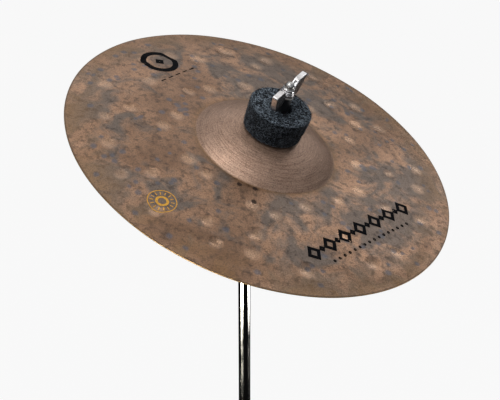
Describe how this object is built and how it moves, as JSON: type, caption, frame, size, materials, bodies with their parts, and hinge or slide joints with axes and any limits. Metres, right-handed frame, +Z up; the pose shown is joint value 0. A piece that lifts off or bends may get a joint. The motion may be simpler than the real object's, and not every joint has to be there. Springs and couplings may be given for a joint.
{
  "type": "cymbal on a stand arm",
  "caption": "Small hammered bronze cymbal tilted on a stand arm, held by felts, a sleeve, a tilter and a wing nut.",
  "frame": {"origin": "centre of the arm's lower end face", "axes": "+Z up along the arm to the tilter's pivot, +Y along the tilter's pivot, +X towards the low side of the tilted cymbal"},
  "size_m": [0.2413, 0.254, 0.3193],
  "materials": {
    "raw_bronze": "hand-hammered, raw and patinated",
    "upper_felt_wool": "pressed wool felt",
    "lower_felt_wool": "pressed wool felt",
    "sleeve_nylon": "satin nylon",
    "cup_washer_chrome": "polished",
    "seat_nut_steel": "zinc plated",
    "stud_steel": "zinc plated",
    "nut_washer_steel": "zinc plated",
    "wing_nut_cast": "satin plated casting",
    "tilter_head_cast": "plated casting",
    "tilter_base_cast": "plated casting",
    "brake_fibre": "pressed fibre",
    "spring_washer_steel": "zinc plated",
    "clamp_bolt_steel": "zinc plated",
    "clamp_handle_chrome": "polished",
    "clamp_nut_steel": "zinc plated",
    "arm_pin_steel": "plain steel",
    "stud_pin_steel": "plain steel",
    "arm_chrome": "polished"
  },
  "bodies": {
    "stand": {"stand_arm": "arm_chrome", "arm_pin": "arm_pin_steel", "tilter_base": "tilter_base_cast", "brake_disc": "brake_fibre", "clamp_nut": "clamp_nut_steel"},
    "tilter": {"tilter_head": "tilter_head_cast", "stud_pin": "stud_pin_steel", "tilter_stud": "stud_steel", "seat_nut": "seat_nut_steel", "cup_washer": "cup_washer_chrome", "cymbal_sleeve": "sleeve_nylon"},
    "felt_seat": {"lower_felt": "lower_felt_wool"},
    "felt_top": {"upper_felt": "upper_felt_wool"},
    "cymbal_body": {"cymbal": "raw_bronze"},
    "nut_seat": {"nut_washer": "nut_washer_steel"},
    "nut": {"wing_nut": "wing_nut_cast"},
    "clamp_seat": {"clamp_spring_washer": "spring_washer_steel"},
    "clamp_screw": {"clamp_bolt": "clamp_bolt_steel", "clamp_handle": "clamp_handle_chrome"}
  },
  "joints": [
    {"name": "tilter_tilt", "type": "hinge", "parent": "stand", "child": "tilter", "pos_m": [0, 0, 0.23], "axis": [0, 1, 0], "range_deg": [-108, 71]},
    {"name": "cymbal_rock_x", "type": "hinge", "parent": "tilter", "child": "felt_seat", "pos_m": [0.01709, 0, 0.28138], "axis": [0.9489, 0, -0.3156], "range_deg": [-4, 4], "stiffness_Nm_per_rad": 0.5, "deforming": ["lower_felt"]},
    {"name": "cymbal_rock_y", "type": "hinge", "parent": "felt_seat", "child": "felt_top", "pos_m": [0.01709, 0, 0.28138], "axis": [0, 1, 0], "range_deg": [-4, 4], "stiffness_Nm_per_rad": 0.5, "springref_deg": 1.78, "deforming": ["lower_felt"]},
    {"name": "cymbal_spin", "type": "hinge", "parent": "felt_top", "child": "cymbal_body", "pos_m": [0.01709, 0, 0.28138], "axis": [0.3156, 0, 0.9489], "continuous": true},
    {"name": "wing_nut_lift", "type": "slide", "parent": "tilter", "child": "nut_seat", "axis": [0.3156, 0, 0.9489], "range_m": [0, 0.008]},
    {"name": "wing_nut_turn", "type": "hinge", "parent": "nut_seat", "child": "nut", "pos_m": [0.02525, 0, 0.30591], "axis": [0.3156, 0, 0.9489], "range_deg": [0, 2890]},
    {"name": "clamp_slide", "type": "slide", "parent": "stand", "child": "clamp_seat", "axis": [0, 1, 0], "range_m": [0, 0.002]},
    {"name": "clamp_turn", "type": "hinge", "parent": "clamp_seat", "child": "clamp_screw", "pos_m": [0, 0, 0.23], "axis": [0, 1, 0], "range_deg": [0, 725]}
  ],
  "couplings": [
    {"joint": "wing_nut_turn", "follows": "wing_nut_lift", "rad_per_m": 6283.2},
    {"joint": "clamp_turn", "follows": "clamp_slide", "rad_per_m": 6283.2}
  ]
}
